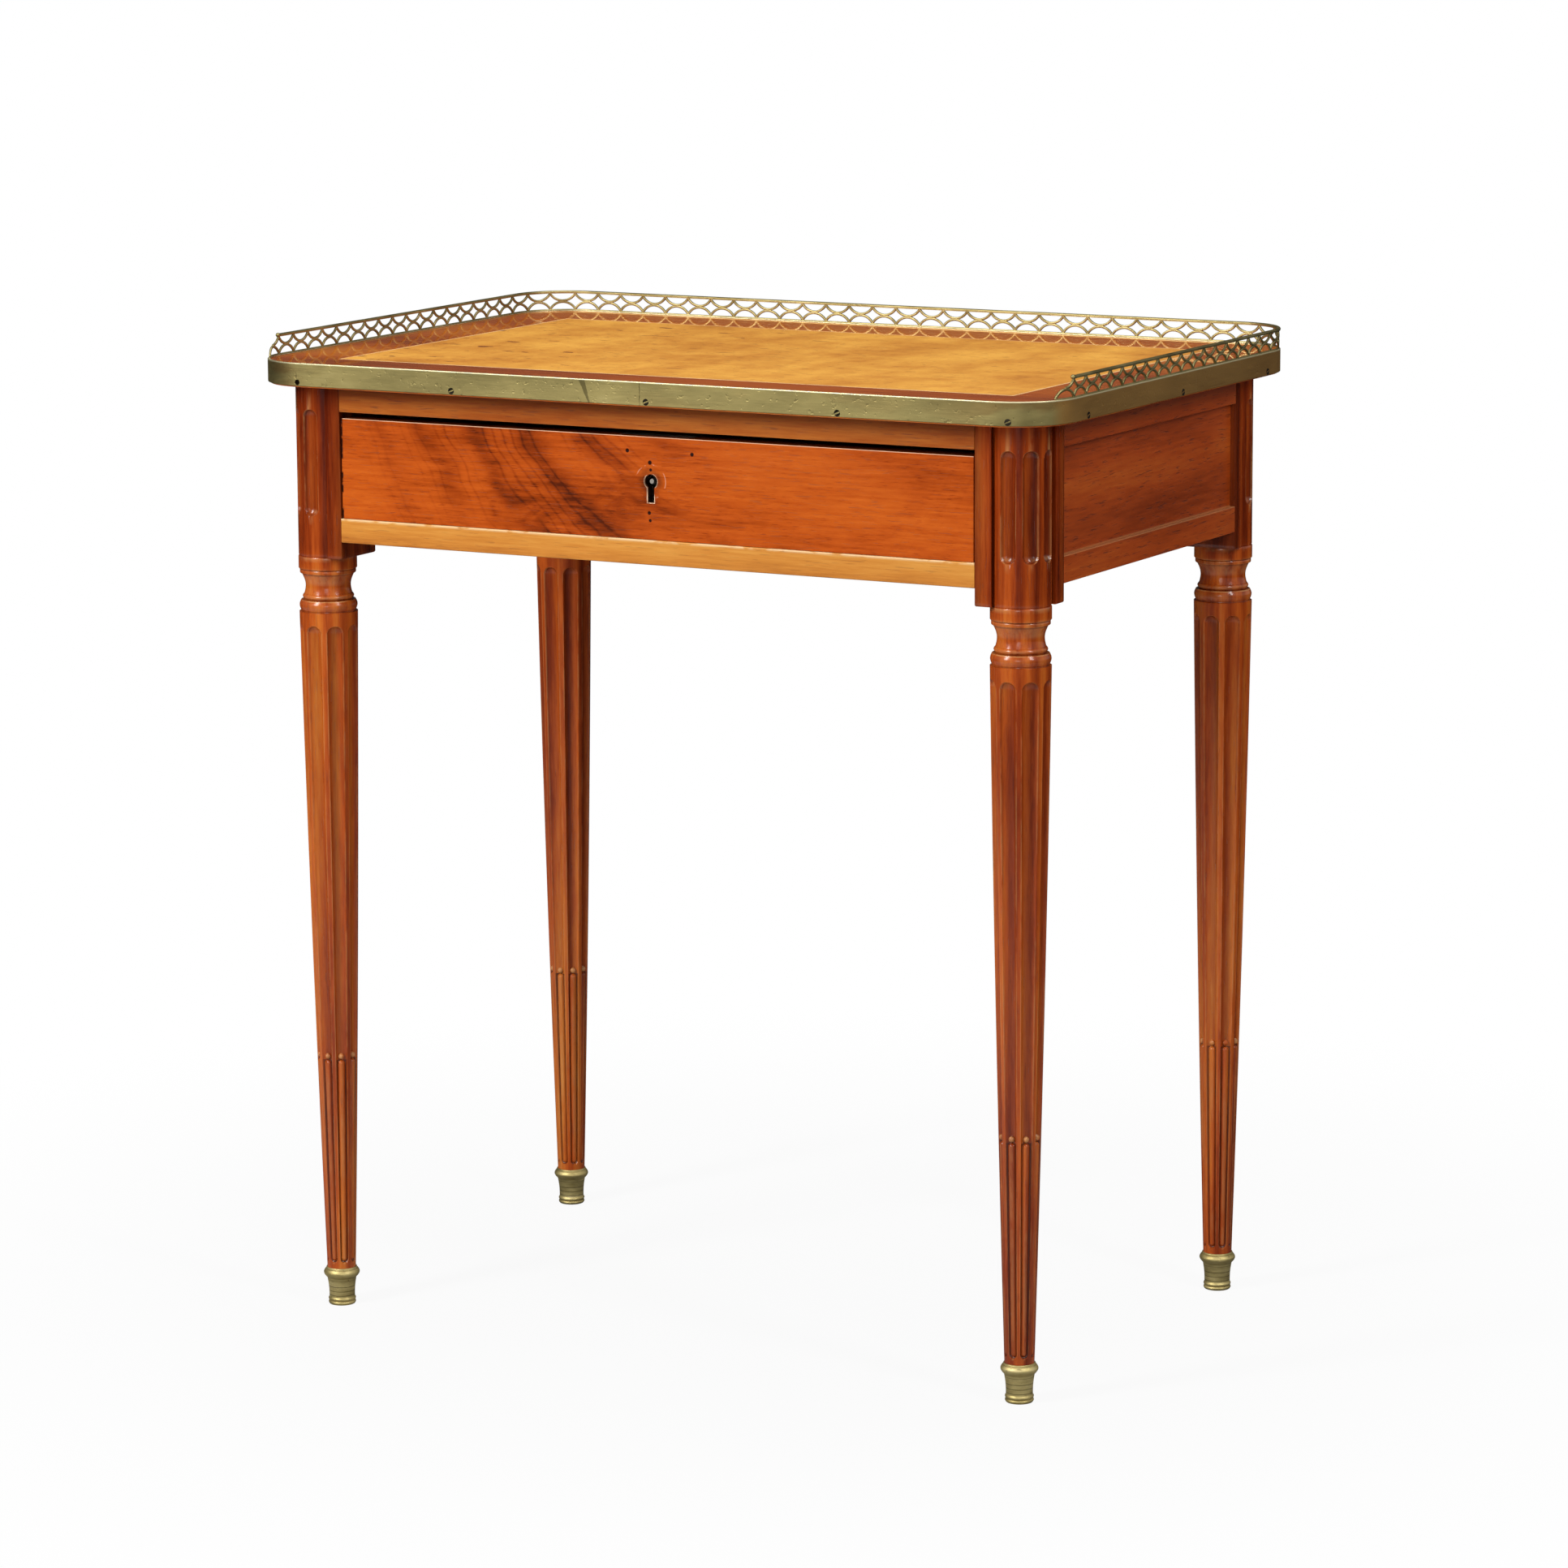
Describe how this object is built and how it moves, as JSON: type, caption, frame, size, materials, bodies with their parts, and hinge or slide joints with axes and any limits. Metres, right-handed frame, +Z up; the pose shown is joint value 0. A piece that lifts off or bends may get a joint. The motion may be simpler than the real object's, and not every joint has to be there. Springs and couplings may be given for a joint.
{
  "type": "writing table",
  "caption": "Small wooden writing table with fluted turned legs, a lockable frieze drawer, an inset leather top, a brass band and a pierced brass gallery on three sides.",
  "frame": {"origin": "on the floor plane under the middle of the table", "axes": "+X to the right of a person sitting at the table, +Y to the back, +Z up; the drawer opens towards -Y"},
  "size_m": [0.674, 0.443, 0.7575],
  "materials": {
    "leg_wood": "polished",
    "front_wood": "polished",
    "pale_wood": "polished",
    "case_wood": "polished",
    "plain_wood": "raw",
    "top_wood": "polished",
    "leather": "worn satin",
    "band_brass": "aged",
    "gallery_brass": "aged",
    "dark_brass": "dark, aged",
    "lock_iron": "old iron"
  },
  "bodies": {
    "case": {"leg_front_left": "leg_wood", "leg_front_right": "leg_wood", "leg_back_left": "leg_wood", "leg_back_right": "leg_wood", "sabots": "dark_brass", "front_top_rail": "front_wood", "front_bottom_rail": "pale_wood", "left_top_rail": "case_wood", "left_bottom_rail": "case_wood", "left_panel": "case_wood", "right_top_rail": "case_wood", "right_bottom_rail": "case_wood", "right_panel": "case_wood", "back_top_rail": "case_wood", "back_bottom_rail": "case_wood", "back_panel": "case_wood", "runner_left": "plain_wood", "runner_right": "plain_wood", "guide_left": "plain_wood", "guide_right": "plain_wood", "kicker_left": "plain_wood", "kicker_right": "plain_wood", "drawer_stop_left": "plain_wood", "drawer_stop_right": "plain_wood", "glue_block_front_left": "plain_wood", "glue_block_front_right": "plain_wood", "glue_block_back_left": "plain_wood", "glue_block_back_right": "plain_wood", "top_board": "top_wood", "writing_leather": "leather", "top_band": "band_brass", "gallery_left": "gallery_brass", "gallery_right": "gallery_brass", "gallery_back": "gallery_brass", "gallery_corners": "gallery_brass"},
    "drawer": {"drawer_front": "front_wood", "drawer_side_left": "plain_wood", "drawer_side_right": "plain_wood", "drawer_back": "plain_wood", "drawer_bottom": "plain_wood", "lock_case": "lock_iron", "lock_pin": "lock_iron"},
    "lock_bolt": {"lock_bolt": "lock_iron"}
  },
  "joints": [
    {"name": "drawer_slide", "type": "slide", "parent": "case", "child": "drawer", "axis": [0, -1, 0], "range_m": [0, 0.26]},
    {"name": "bolt_slide", "type": "slide", "parent": "drawer", "child": "lock_bolt", "axis": [0, 0, 1], "range_m": [0, 0.008]}
  ]
}
